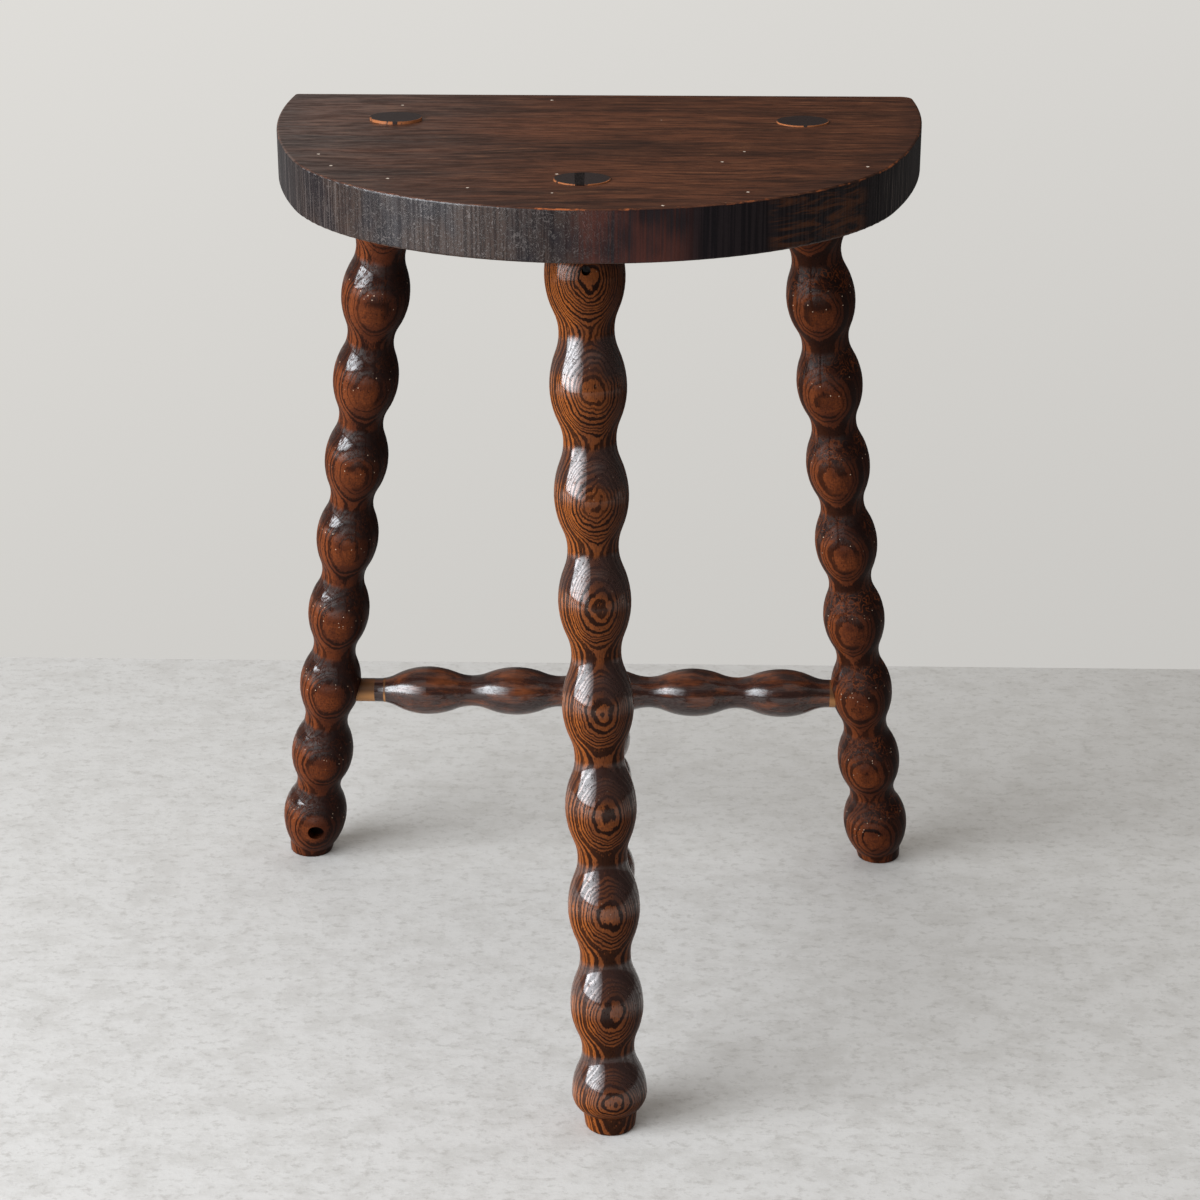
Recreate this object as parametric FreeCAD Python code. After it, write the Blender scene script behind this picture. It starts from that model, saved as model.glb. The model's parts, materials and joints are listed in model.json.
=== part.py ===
import FreeCAD, Part
import math
import os

# A low stool with a half-round seat on three splayed, bead-turned legs, joined below by a back
# stretcher and a middle stretcher that runs from it to the front leg. All sizes are millimetres.
# Places are first worked out from the middle of the seat's back edge, with X to the right, Y to
# the back and Z up from the floor. At the end everything moves so that the origin lies on the
# floor under the middle of the stool's outer box.

Vector = FreeCAD.Vector

# Seat board
SEAT_WIDTH = 339.0
SEAT_DEPTH = 283.0
SEAT_THICKNESS = 25.4
SEAT_HEIGHT = 485.0
SEAT_FRONT_RADIUS = 155.4
SEAT_SIDE_RADIUS = 450.0
SEAT_LEFT_CORNER_RADIUS = 2.5
SEAT_RIGHT_CORNER_RADIUS = 7.0
SEAT_ARRIS_RADIUS = 1.2

# Where the tenons come through the seat's top
BACK_TENON_SPREAD = 213.2
BACK_TENON_INSET = 74.4
BACK_TENON_SKEW = 0.8
FRONT_TENON_INSET = 62.9
FRONT_TENON_DRIFT = 4.1

# How far each leg runs outwards, backwards or forwards between the seat's top and the floor
BACK_LEG_SPLAY = 72.9
BACK_LEG_LEAN = 6.1
BACK_LEG_RAKE = 117.3
FRONT_LEG_RAKE = 51.6
FRONT_LEG_DRIFT = 15.4

# Turned beads of a leg, laid out from the seat down. As many are turned as the leg has room for
LEG_PITCH = 53.55
LEG_FIRST_NECK_DROP = 51.1
FRONT_LEG_DRIVE = 4.8
LEG_BELLY_RADIUS = 19.9
LEG_BELLY_WAIST = 1.9
LEG_NECK_RADIUS = 14.2
LEG_NECK_WAIST = 1.8
FOOT_BEAD_RISE = 4.7
FOOT_RING_HEIGHT = 9.0
FOOT_RING_RADIUS = 14.1
FOOT_RING_TAPER = 1.2
FOOT_EDGE_RADIUS = 1.5

# Round through-tenons, split and wedged from above
TENON_RADIUS = 13.6
GLUE_LINE = 0.1
SAW_KERF = 1.2
KERF_RUNOUT = 3.0
WEDGE_DEPTH = 19.0
FRONT_WEDGE_THICKNESS = 4.7
FRONT_WEDGE_OFFSET = -1.1
FRONT_WEDGE_ANGLE = 2.0
BACK_LEFT_WEDGE_THICKNESS = 2.4
BACK_LEFT_WEDGE_OFFSET = 0.6
BACK_LEFT_WEDGE_ANGLE = 0.0
BACK_RIGHT_WEDGE_THICKNESS = 1.8
BACK_RIGHT_WEDGE_OFFSET = 2.2
BACK_RIGHT_WEDGE_ANGLE = -5.0
FRONT_TENON_PROUD = 0.5
BACK_LEFT_TENON_PROUD = 1.4
BACK_RIGHT_TENON_PROUD = 0.6

# Turned stretchers, with as many whole beads as fit between what carries them
STRETCHER_HEIGHT = 121.7
STRETCHER_TILT = 0.9
STRETCHER_BELLY_RADIUS = 14.5
STRETCHER_NECK_RADIUS = 9.3
STRETCHER_TENON_PAST_AXIS = 3.0
SOCKET_END_GAP = 1.0
BACK_STRETCHER_PITCH = 53.5
BACK_STRETCHER_SHIFT = 5.7
BACK_STRETCHER_LEFT_RADIUS = 7.1
BACK_STRETCHER_LEFT_REACH = 3.2
BACK_STRETCHER_RIGHT_RADIUS = 8.4
BACK_STRETCHER_RIGHT_REACH = 1.2
MIDDLE_STRETCHER_PITCH = 56.0
MIDDLE_STRETCHER_FRONT_BELLY = 37.5
MIDDLE_STRETCHER_DRIFT = 2.0
MIDDLE_STRETCHER_SHOULDER_RADIUS = 7.8
MIDDLE_STRETCHER_TENON_RADIUS = 6.0

# Old damage: a bored hole in the back left foot and a small pit under the seat's front edge
FOOT_HOLE_RADIUS = 5.0
FOOT_HOLE_DEPTH = 9.0
FOOT_HOLE_HEIGHT = 22.4
FOOT_HOLE_SHIFT = 3.2
PIT_RADIUS = 2.2
PIT_DEPTH = 3.5
PIT_DROP = 12.9
PIT_SHIFT = 1.4

# The last bead's middle is at least this share of the pitch above the foot ring
FOOT_BEAD_SHARE = 0.1

# A neck bends tighter than a belly: its share of the two radii of a bead's wave
NECK_BEND_SHARE = 0.36

# Two places closer together than this share of a size count as one
SAME_SHARE = 0.001

# Every cutting shape runs past what it cuts by this much
OVERRUN = 12.0

# Sides of boxes that have to reach over the whole stool
REACH = 2.0 * (SEAT_WIDTH + SEAT_DEPTH + BACK_LEG_SPLAY + BACK_LEG_RAKE + FRONT_LEG_RAKE)

SEAT_UNDERSIDE = SEAT_HEIGHT - SEAT_THICKNESS


def slab(low, high):
    """A wide flat box between two heights, for trimming."""
    box = Part.makeBox(REACH, REACH, high - low)
    box.translate(Vector(-REACH / 2, -REACH / 2, low))
    return box


def oriented(shape, start, end):
    """The shape, drawn up the Z axis, laid along the line from start to end."""
    turn = FreeCAD.Rotation(Vector(0, 0, 1), end - start)
    shape.Placement = FreeCAD.Placement(start, turn)
    return shape


def rod(radius, start, end):
    """A plain cylinder between two points."""
    length = (end - start).Length
    return oriented(Part.makeCylinder(radius, length), start, end)


def along(start, end, distance):
    """The point that lies a distance from start on the way to end."""
    step = Vector(end - start)
    return start + step.normalize() * distance


def belly_arc_to(belly, end):
    """One arc from a belly, where it is level with the axis, down to a point on its flank."""
    run = belly[0] - end[0]
    drop = belly[1] - end[1]
    bend = (run * run + drop * drop) / (2.0 * drop)
    half_turn = math.atan2(run, bend - drop) / 2
    middle = Vector(belly[1] - bend * (1.0 - math.cos(half_turn)), 0, belly[0] - bend * math.sin(half_turn))
    return Part.Arc(Vector(end[1], 0, end[0]), middle, Vector(belly[1], 0, belly[0])).toShape()


def half_wave(neck, belly):
    """Two tangent arcs from a neck to a belly, each level with the axis at its own end."""
    run = belly[0] - neck[0]
    rise = belly[1] - neck[1]
    both_radii = (run * run + rise * rise) / (2.0 * rise)
    neck_bend = both_radii * NECK_BEND_SHARE
    belly_bend = both_radii - neck_bend
    turn = math.asin(abs(run) / both_radii)
    way = math.copysign(1.0, run)

    def on_neck(angle):
        reach = neck_bend * math.sin(angle) * way
        return Vector(neck[1] + neck_bend * (1.0 - math.cos(angle)), 0, neck[0] + reach)

    def on_belly(angle):
        reach = belly_bend * math.sin(angle) * way
        return Vector(belly[1] - belly_bend * (1.0 - math.cos(angle)), 0, belly[0] - reach)

    neck_arc = Part.Arc(on_neck(0), on_neck(turn / 2), on_neck(turn))
    belly_arc = Part.Arc(on_neck(turn), on_belly(turn / 2), on_belly(0))
    return neck_arc.toShape(), belly_arc.toShape()


def wave_edges(necks, bellies):
    """The beads' outline: necks and bellies in turn, each a height and a radius."""
    edges = []
    for neck, belly, next_neck in zip(necks, bellies, necks[1:]):
        edges.extend(half_wave(neck, belly))
        edges.extend(reversed(half_wave(next_neck, belly)))
    return edges


def turned_solid(low, outline, high):
    """A turning up the Z axis with this outline, square at its low and high ends."""
    low_height, low_radius = low
    high_height, high_radius = high
    bottom = Part.makeLine(Vector(0, 0, low_height), Vector(low_radius, 0, low_height))
    top = Part.makeLine(Vector(high_radius, 0, high_height), Vector(0, 0, high_height))
    middle = Part.makeLine(Vector(0, 0, high_height), Vector(0, 0, low_height))
    face = Part.Face(Part.Wire([bottom] + outline + [top, middle]))
    return face.revolve(Vector(0, 0, 0), Vector(0, 0, 1), 360)


class Leg:
    """One leg's line, from its middle at the seat's top to its middle at the floor."""

    def __init__(self, top, foot, drive, proud, wedge):
        self.top = Vector(top[0], top[1], SEAT_HEIGHT)
        self.foot = Vector(foot[0], foot[1], 0)
        self.length = (self.top - self.foot).Length
        self.slope = self.length / SEAT_HEIGHT
        self.first_neck = SEAT_UNDERSIDE * self.slope - LEG_FIRST_NECK_DROP + drive
        self.first_belly = self.first_neck + LEG_PITCH / 2
        room = self.first_belly + FOOT_BEAD_RISE - FOOT_RING_HEIGHT - FOOT_BEAD_SHARE * LEG_PITCH
        self.beads = 1 + math.floor(room / LEG_PITCH)
        self.proud = proud
        self.wedge_thickness, self.wedge_offset, self.wedge_turn = wedge

    def at_height(self, height):
        return self.foot + (self.top - self.foot) * (height / SEAT_HEIGHT)

    def mortise(self):
        end = along(self.foot, self.top, self.length + OVERRUN)
        return rod(TENON_RADIUS + GLUE_LINE, self.at_height(SEAT_UNDERSIDE - OVERRUN), end)


def front_leg_line():
    top = (-FRONT_TENON_DRIFT, FRONT_TENON_INSET - SEAT_DEPTH)
    foot = (top[0] + FRONT_LEG_DRIFT, top[1] - FRONT_LEG_RAKE)
    wedge = (FRONT_WEDGE_THICKNESS, FRONT_WEDGE_OFFSET, FRONT_WEDGE_ANGLE)
    return Leg(top, foot, FRONT_LEG_DRIVE, FRONT_TENON_PROUD, wedge)


def back_left_leg_line():
    top = (-BACK_TENON_SPREAD / 2, BACK_TENON_SKEW - BACK_TENON_INSET)
    foot = (top[0] - BACK_LEG_SPLAY - BACK_LEG_LEAN, BACK_LEG_RAKE - BACK_TENON_INSET)
    wedge = (BACK_LEFT_WEDGE_THICKNESS, BACK_LEFT_WEDGE_OFFSET, BACK_LEFT_WEDGE_ANGLE)
    return Leg(top, foot, 0, BACK_LEFT_TENON_PROUD, wedge)


def back_right_leg_line():
    top = (BACK_TENON_SPREAD / 2, -BACK_TENON_SKEW - BACK_TENON_INSET)
    foot = (top[0] + BACK_LEG_SPLAY - BACK_LEG_LEAN, BACK_LEG_RAKE - BACK_TENON_INSET)
    wedge = (BACK_RIGHT_WEDGE_THICKNESS, BACK_RIGHT_WEDGE_OFFSET, BACK_RIGHT_WEDGE_ANGLE)
    return Leg(top, foot, 0, BACK_RIGHT_TENON_PROUD, wedge)


LEGS = {
    "front": front_leg_line(),
    "back_left": back_left_leg_line(),
    "back_right": back_right_leg_line(),
}

# The stretchers' lines run between the middles of the legs, level with the floor
BACK_STRETCHER_LEFT = LEGS["back_left"].at_height(STRETCHER_HEIGHT)
BACK_STRETCHER_RIGHT = LEGS["back_right"].at_height(STRETCHER_HEIGHT + STRETCHER_TILT)
BACK_STRETCHER_LENGTH = (BACK_STRETCHER_RIGHT - BACK_STRETCHER_LEFT).Length
BACK_STRETCHER_MIDDLE = BACK_STRETCHER_LENGTH / 2 + BACK_STRETCHER_SHIFT
MIDDLE_STRETCHER_FRONT = LEGS["front"].at_height(STRETCHER_HEIGHT) + Vector(MIDDLE_STRETCHER_DRIFT, 0, 0)
MIDDLE_STRETCHER_BACK = along(BACK_STRETCHER_LEFT, BACK_STRETCHER_RIGHT, BACK_STRETCHER_MIDDLE)


def seat_outline():
    """The board's edge: a front arc, two flatter side arcs tangent to it, and a straight back."""
    half_width = SEAT_WIDTH / 2
    corner = Vector(half_width, 0, 0)
    front = Vector(0, -SEAT_DEPTH, 0)
    front_middle = Vector(0, SEAT_FRONT_RADIUS - SEAT_DEPTH, 0)
    to_corner = corner - front_middle
    spare = SEAT_FRONT_RADIUS - SEAT_SIDE_RADIUS
    inner = (to_corner.Length ** 2 + SEAT_FRONT_RADIUS ** 2) / 2 - SEAT_FRONT_RADIUS * SEAT_SIDE_RADIUS
    turn = math.acos(inner / spare / to_corner.Length)
    joint_angle = math.atan2(to_corner.y, to_corner.x) - turn
    outward = Vector(math.cos(joint_angle), math.sin(joint_angle), 0)
    joint = front_middle + outward * SEAT_FRONT_RADIUS
    side_middle = front_middle + outward * spare
    to_back = corner - side_middle
    half_turn = (math.atan2(to_back.y, to_back.x) + joint_angle) / 2
    side_point = side_middle + Vector(math.cos(half_turn), math.sin(half_turn), 0) * SEAT_SIDE_RADIUS

    def mirrored(point):
        return Vector(-point.x, point.y, point.z)

    edges = [
        Part.Arc(corner, side_point, joint).toShape(),
        Part.Arc(joint, front, mirrored(joint)).toShape(),
        Part.Arc(mirrored(joint), mirrored(side_point), mirrored(corner)).toShape(),
        Part.makeLine(mirrored(corner), corner),
    ]
    return Part.Wire(edges)


def seat_board():
    """The half-round board with softened edges and three splayed mortises."""
    board = Part.Face(seat_outline()).extrude(Vector(0, 0, SEAT_THICKNESS))
    board.translate(Vector(0, 0, SEAT_UNDERSIDE))
    board = board.makeFillet(SEAT_LEFT_CORNER_RADIUS, back_corners(board, -1))
    board = board.makeFillet(SEAT_RIGHT_CORNER_RADIUS, back_corners(board, 1))
    level = [edge for edge in board.Edges if edge.BoundBox.ZLength < SEAT_THICKNESS / 2]
    board = board.makeFillet(SEAT_ARRIS_RADIUS, level)
    for leg in LEGS.values():
        board = board.cut(leg.mortise())
    return board


def back_corners(board, side):
    """The upright edge where the left side, -1, or the right side, 1, meets the back."""
    corner = Vector(side * SEAT_WIDTH / 2, 0, SEAT_UNDERSIDE)
    return [edge for edge in board.Edges if edge.Length <= SEAT_THICKNESS * (1.0 + SAME_SHARE)
            and edge.BoundBox.XLength < SAME_SHARE * SEAT_WIDTH
            and (edge.Vertexes[0].Point - corner).Length < SEAT_THICKNESS * (1.0 + SAME_SHARE)]


def leg_radii(place):
    """Belly and neck radius at a place from 0 at the seat to 1 at the floor."""
    share = 2.0 * place - 1.0
    fullness = 1.0 - share * share
    belly = LEG_BELLY_RADIUS - LEG_BELLY_WAIST * fullness
    neck = LEG_NECK_RADIUS - LEG_NECK_WAIST * fullness
    return belly, neck


def foot_edges(belly):
    """The last bead's lower flank and the tapered foot ring below it, which runs past the floor."""
    taper = FOOT_RING_TAPER / FOOT_RING_HEIGHT
    end = (-OVERRUN, FOOT_RING_RADIUS - taper * (FOOT_RING_HEIGHT + OVERRUN))
    crease = (FOOT_RING_HEIGHT, FOOT_RING_RADIUS)
    ring = Part.makeLine(Vector(end[1], 0, end[0]), Vector(crease[1], 0, crease[0]))
    return end, [ring, belly_arc_to(belly, crease)]


def turned_leg(leg):
    """The leg's beads and foot, trimmed flat at the floor and at the seat's underside.

    The last bead was turned a little higher than the even pitch would put it.
    """
    heights = [leg.first_belly - bead * LEG_PITCH for bead in range(-1, leg.beads)]
    heights[-1] += FOOT_BEAD_RISE
    necks = []
    bellies = []
    for bead in reversed(range(leg.beads)):
        above, height = heights[bead:bead + 2]
        necks.append(((above + height) / 2, leg_radii(bead / leg.beads)[1]))
        bellies.append((height, leg_radii((bead + 1 / 2) / leg.beads)[0]))
    end, outline = foot_edges(bellies[0])
    outline.extend(reversed(half_wave(necks[0], bellies[0])))
    outline.extend(wave_edges(necks, bellies[1:]))
    beads = oriented(turned_solid(end, outline, necks[-1]), leg.foot, leg.top)
    return beads.common(slab(0, SEAT_UNDERSIDE))


def softened_foot(solid):
    """The leg with the sharp rim of its foot rounded."""
    rim = [edge for edge in solid.Edges if edge.BoundBox.ZMax < FOOT_EDGE_RADIUS / 2]
    return solid.makeFillet(FOOT_EDGE_RADIUS, rim)


def wedge_outline(leg, past_tip):
    """The wedge's tapered side view about the leg's line, with its saw cut below the tip."""
    tip = leg.length - WEDGE_DEPTH
    tip_half = SAW_KERF / 2
    head = leg.length + OVERRUN
    taper = (leg.wedge_thickness - SAW_KERF) / 2 / WEDGE_DEPTH
    head_half = leg.wedge_thickness / 2 + taper * OVERRUN
    right = [(head_half, head), (tip_half, tip), (tip_half, tip - past_tip)]
    left = [(-across, up) for across, up in reversed(right)]
    points = [Vector(across, 0, up) for across, up in dict.fromkeys(right + left)]
    return Part.Face(Part.makePolygon(points + points[:1]))


def wedge_solid(leg, past_tip, reach):
    """The wedge, or the cut for it, through the tenon from front to back."""
    solid = wedge_outline(leg, past_tip).extrude(Vector(0, 2.0 * reach, 0))
    solid.translate(Vector(leg.wedge_offset, -reach, 0))
    solid.rotate(Vector(0, 0, 0), Vector(0, 0, 1), leg.wedge_turn)
    turn = FreeCAD.Rotation(Vector(0, 0, 1), leg.top - leg.foot)
    solid.Placement = FreeCAD.Placement(leg.foot, turn).multiply(solid.Placement)
    return solid


def leg_tenon(leg):
    """The round tenon from inside the first bead up to the seat's top."""
    start = along(leg.foot, leg.top, leg.first_belly)
    end = along(leg.foot, leg.top, leg.length + OVERRUN)
    return rod(TENON_RADIUS, start, end).common(slab(0, SEAT_HEIGHT))


def drawn_up(solid, rise):
    """The solid with its ends at the seat's top drawn straight up, to stand proud of the seat."""
    ends = [face for face in solid.Faces if face.BoundBox.ZMin > SEAT_HEIGHT - rise / 2]
    for end in ends:
        solid = solid.fuse(end.extrude(Vector(0, 0, rise)))
    return solid.removeSplitter()


def leg_solid(leg):
    """A whole leg: beads below the seat, wedged tenon through it."""
    solid = softened_foot(turned_leg(leg)).fuse(leg_tenon(leg)).removeSplitter()
    solid = solid.cut(wedge_solid(leg, KERF_RUNOUT, TENON_RADIUS + OVERRUN))
    return drawn_up(solid, leg.proud)


def leg_wedge(leg):
    """The wedge in the leg's tenon, flush with the tenon all round."""
    wedge = wedge_solid(leg, 0, TENON_RADIUS + OVERRUN)
    return drawn_up(wedge.common(leg_tenon(leg)), leg.proud)


def bead_count(start, end, pitch, shoulders):
    """How many whole beads fit between the shoulders of a rail."""
    return math.floor(((end - start).Length - sum(shoulders)) / pitch)


def bead_places(first_belly, count, pitch):
    """Heights of the bellies and of the necks between and beyond them."""
    bellies = [first_belly + index * pitch for index in range(count)]
    necks = [first_belly + (index - 1 / 2) * pitch for index in range(count + 1)]
    return bellies, necks


def stretcher_solid(start, end, beads, ends, tenon_radii, shoulders):
    """A beaded rail between two axes, with a round tenon that runs just past each of them.

    beads holds the first belly's place, the number of beads and their pitch. ends holds each end
    neck's radius and how much further out than half a pitch it lies. A bead that would run into
    what carries the rail is cut square at that end's shoulder.
    """
    belly_places, neck_places = bead_places(*beads)
    bellies = [(place, STRETCHER_BELLY_RADIUS) for place in belly_places]
    necks = [(place, STRETCHER_NECK_RADIUS) for place in neck_places]
    (start_radius, start_reach), (end_radius, end_reach) = ends
    necks[0] = (neck_places[0] - start_reach, start_radius)
    necks[-1] = (neck_places[-1] + end_reach, end_radius)
    turned = oriented(turned_solid(necks[0], wave_edges(necks, bellies), necks[-1]), start, end)
    between = rod(STRETCHER_BELLY_RADIUS + OVERRUN, along(start, end, shoulders[0]),
                  along(end, start, shoulders[1]))
    turned = turned.common(between)
    middle = along(start, end, belly_places[0])
    tenons = [rod(radius, middle, along(axis, middle, -STRETCHER_TENON_PAST_AXIS))
              for radius, axis in zip(tenon_radii, (start, end))]
    return turned.multiFuse(tenons).removeSplitter()


def back_stretcher():
    """The rail between the back legs, its beads a little nearer the right leg."""
    shoulders = (LEG_BELLY_RADIUS, LEG_BELLY_RADIUS)
    count = bead_count(BACK_STRETCHER_LEFT, BACK_STRETCHER_RIGHT, BACK_STRETCHER_PITCH, shoulders)
    first_belly = BACK_STRETCHER_MIDDLE - (count - 1) / 2 * BACK_STRETCHER_PITCH
    radii = (BACK_STRETCHER_LEFT_RADIUS, BACK_STRETCHER_RIGHT_RADIUS)
    ends = tuple(zip(radii, (BACK_STRETCHER_LEFT_REACH, BACK_STRETCHER_RIGHT_REACH)))
    return stretcher_solid(BACK_STRETCHER_LEFT, BACK_STRETCHER_RIGHT,
                           (first_belly, count, BACK_STRETCHER_PITCH), ends, radii, shoulders)


def middle_stretcher():
    """The rail from the front leg back to the middle bead of the back stretcher.

    Its first bead is cut short against the front leg.
    """
    shoulders = (LEG_BELLY_RADIUS, STRETCHER_BELLY_RADIUS)
    count = bead_count(MIDDLE_STRETCHER_FRONT, MIDDLE_STRETCHER_BACK, MIDDLE_STRETCHER_PITCH, shoulders)
    radii = (MIDDLE_STRETCHER_TENON_RADIUS, MIDDLE_STRETCHER_TENON_RADIUS)
    ends = ((MIDDLE_STRETCHER_SHOULDER_RADIUS, 0), (MIDDLE_STRETCHER_TENON_RADIUS, 0))
    return stretcher_solid(MIDDLE_STRETCHER_FRONT, MIDDLE_STRETCHER_BACK,
                           (MIDDLE_STRETCHER_FRONT_BELLY, count, MIDDLE_STRETCHER_PITCH), ends, radii,
                           shoulders)


def socket(axis_point, toward, tenon_radius):
    """The blind round hole for a stretcher's tenon, from past the axis out towards the rail."""
    bottom = along(axis_point, toward, -STRETCHER_TENON_PAST_AXIS - SOCKET_END_GAP)
    mouth = along(axis_point, toward, LEG_BELLY_RADIUS + OVERRUN)
    return rod(tenon_radius + GLUE_LINE, bottom, mouth)


def front_hole(leg, height, shift, radius, depth):
    """A small blind hole bored level from the front into a leg's bead, a shift right of its middle."""
    start = leg.at_height(height) + Vector(shift, 0, 0)
    bottom = start - Vector(0, LEG_BELLY_RADIUS - depth, 0)
    return rod(radius, bottom, start - Vector(0, LEG_BELLY_RADIUS + OVERRUN, 0))


def build_parts():
    """Every piece of the stool by its name."""
    parts = {"seat_board": seat_board()}
    for side, leg in LEGS.items():
        parts[side + "_leg"] = leg_solid(leg)
        parts[side + "_wedge"] = leg_wedge(leg)
    left, right = BACK_STRETCHER_LEFT, BACK_STRETCHER_RIGHT
    front, back = MIDDLE_STRETCHER_FRONT, MIDDLE_STRETCHER_BACK
    foot_hole = front_hole(LEGS["back_left"], FOOT_HOLE_HEIGHT, FOOT_HOLE_SHIFT, FOOT_HOLE_RADIUS,
                           FOOT_HOLE_DEPTH)
    pit = front_hole(LEGS["front"], SEAT_UNDERSIDE - PIT_DROP, PIT_SHIFT, PIT_RADIUS, PIT_DEPTH)
    left_socket = socket(left, right, BACK_STRETCHER_LEFT_RADIUS)
    right_socket = socket(right, left, BACK_STRETCHER_RIGHT_RADIUS)
    parts["back_left_leg"] = parts["back_left_leg"].cut(left_socket).cut(foot_hole)
    parts["back_right_leg"] = parts["back_right_leg"].cut(right_socket)
    front_socket = socket(front, back, MIDDLE_STRETCHER_TENON_RADIUS)
    back_socket = socket(back, front, MIDDLE_STRETCHER_TENON_RADIUS)
    parts["front_leg"] = parts["front_leg"].cut(front_socket).cut(pit)
    parts["back_stretcher"] = back_stretcher().cut(back_socket)
    parts["middle_stretcher"] = middle_stretcher()
    return parts


def move_to_origin(parts):
    """Moves every piece so that the origin is under the middle of the whole stool, on the floor."""
    box = Part.makeCompound(list(parts.values())).optimalBoundingBox(False)
    middle = Vector((box.XMin + box.XMax) / 2, (box.YMin + box.YMax) / 2, 0)
    for shape in parts.values():
        shape.translate(-middle)
    return middle


def main():
    parts = build_parts()
    middle = move_to_origin(parts)
    os.makedirs("parts", exist_ok=True)
    for name, shape in parts.items():
        box = shape.optimalBoundingBox(False)
        print(name, "valid", shape.isValid(), "solids", len(shape.Solids), "volume", round(shape.Volume),
              "x", round(box.XMin, 2), round(box.XMax, 2), "y", round(box.YMin, 2), round(box.YMax, 2),
              "z", round(box.ZMin, 2), round(box.ZMax, 2))
        shape.exportStep(os.path.join("parts", name + ".step"))
    print("back edge's middle lies at", round(-middle.x, 2), round(-middle.y, 2))


main()
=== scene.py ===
import json
import math

import bpy
import numpy as np
from bpy.props import FloatProperty, FloatVectorProperty, PointerProperty
from bpy.types import Operator, Panel, PropertyGroup
from mathutils import Matrix, Vector

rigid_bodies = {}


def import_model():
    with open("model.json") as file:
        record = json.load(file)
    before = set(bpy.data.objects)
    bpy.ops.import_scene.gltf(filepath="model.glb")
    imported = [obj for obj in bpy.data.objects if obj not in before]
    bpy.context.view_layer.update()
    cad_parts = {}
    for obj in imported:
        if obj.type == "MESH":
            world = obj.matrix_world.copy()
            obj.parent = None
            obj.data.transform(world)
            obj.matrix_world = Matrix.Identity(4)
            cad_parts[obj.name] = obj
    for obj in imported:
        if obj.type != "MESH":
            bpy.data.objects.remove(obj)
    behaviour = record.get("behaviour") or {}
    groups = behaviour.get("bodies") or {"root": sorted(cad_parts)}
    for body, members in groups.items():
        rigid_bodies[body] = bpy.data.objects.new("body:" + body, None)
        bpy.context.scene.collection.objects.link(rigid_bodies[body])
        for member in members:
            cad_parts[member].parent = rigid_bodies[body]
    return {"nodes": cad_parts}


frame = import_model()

bl_info = {
    "name": "Bead-turned stool",
    "version": (1, 0, 0),
    "blender": (4, 5, 0),
    "location": "3D View > Sidebar > Stool",
    "description": "Finishes the wood of a half-round stool with bead-turned legs, on its stage",
    "category": "Object",
}

bpy.context.view_layer.update()
MM = 0.001

# The sizes of the stool are in millimetres. The legs' lines: the middle at the floor, the middle
# at the seat's top, and how far up the line the highest bead's belly lies
LEG_LINES = {
    "front_leg": ((17.02, -155.20), (1.62, -103.60), 442.90),
    "back_left_leg": ((-179.88, 159.40), (-100.88, 42.90), 454.24),
    "back_right_leg": ((179.12, 159.40), (112.32, 41.30), 452.92),
}
LEG_PITCH = 53.55

# The lowest bead stands higher over its foot ring than the pitch gives. The two numbers are
# pitches below the highest belly: where its rise begins and from where it is whole
FOOT_BEAD_RISE = 4.7
FOOT_BEAD_FROM = (7.1, 7.7)

SEAT_TOP = 485.0
SEAT_UNDERSIDE = 459.6

# The tenons' chipped rim, from its inner to its outer radius
TENON_RIM = (12.75, 13.2)

# Round holes in the legs' fronts: the middle's X and Z, and the radius
LEG_HOLES = {"front_leg": (4.24, 446.7, 2.3), "back_left_leg": (-173.03, 22.4, 5.1)}

# The height on the leg's line that the growth rings lean about, and how far in front of that line
# the narrow late rings begin
RING_MIDDLE = 240.0
LATE_RINGS = 13.5

# Going up the front leg, its varnish thins out between these heights on its line. This is painted
# shade: the thinner coat on the top bead stands for the seat's shadow over the window's reflection
SEAT_SHADE_ON_VARNISH = (412.0, 432.0)

# The seat's outline: a front circle about SEAT_MIDDLE, flatter side circles that meet it, and a
# straight back. The right side circle's middle is given from SEAT_MIDDLE, and the left one mirrors
# it. They meet the front circle where a line of this slope comes out from SEAT_MIDDLE
SEAT_MIDDLE = (5.72, -11.10)
SEAT_FRONT_RADIUS = 155.4
SEAT_SIDE_MIDDLE = (-279.2, 93.9)
SEAT_SIDE_RADIUS = 450.0
SEAT_JOINT_SLOPE = -0.3364
SEAT_BACK = 116.50

# Each stretcher's line, the shift of its patterns, and the stretches along its line where the wood
# is bare
STRETCHERS = {
    "back_stretcher": (((-160.06, 130.17, 121.7), (162.23, 129.55, 122.6)), 11.0,
                       ((10.0, 27.6), (33.4, 34.2), (302.6, 306.0))),
    "middle_stretcher": (((15.16, -142.25, 121.7), (6.79, 129.85, 122.17)), 23.0, ()),
}

# How deep the wood's relief is
WOOD_RELIEF = 0.5

# Refraction of the wood and of the varnish, which is raised for its deep gloss
WOOD_IOR = 1.5
VARNISH_IOR = 1.7

# The stage is in metres and degrees. The floor: its half width, near edge, far edge and the
# points each way
FLOOR = (4.0, -4.0, 0.468, 9)

# The window: width and height, how far away and how high its middle is, how far it is to the
# left of the front, and its tilt, where 90 degrees would be upright
WINDOW_SIZE = (3.4, 1.95)
WINDOW_DISTANCE = 2.6
WINDOW_HEIGHT = 1.13
WINDOW_AROUND = 48.0
WINDOW_TILT = 80.0
WINDOW_COLOUR = (0.90, 0.95, 1.0)

# The camera, with its tilt up from straight down and its turn to the left
CAMERA_PLACE = (0.04213, -1.32749, 0.74683)
CAMERA_TILT = 68.808
CAMERA_TURN = 1.4965
CAMERA_LENS_MM = 78.556
CAMERA_FILM_MM = 36.0


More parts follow.
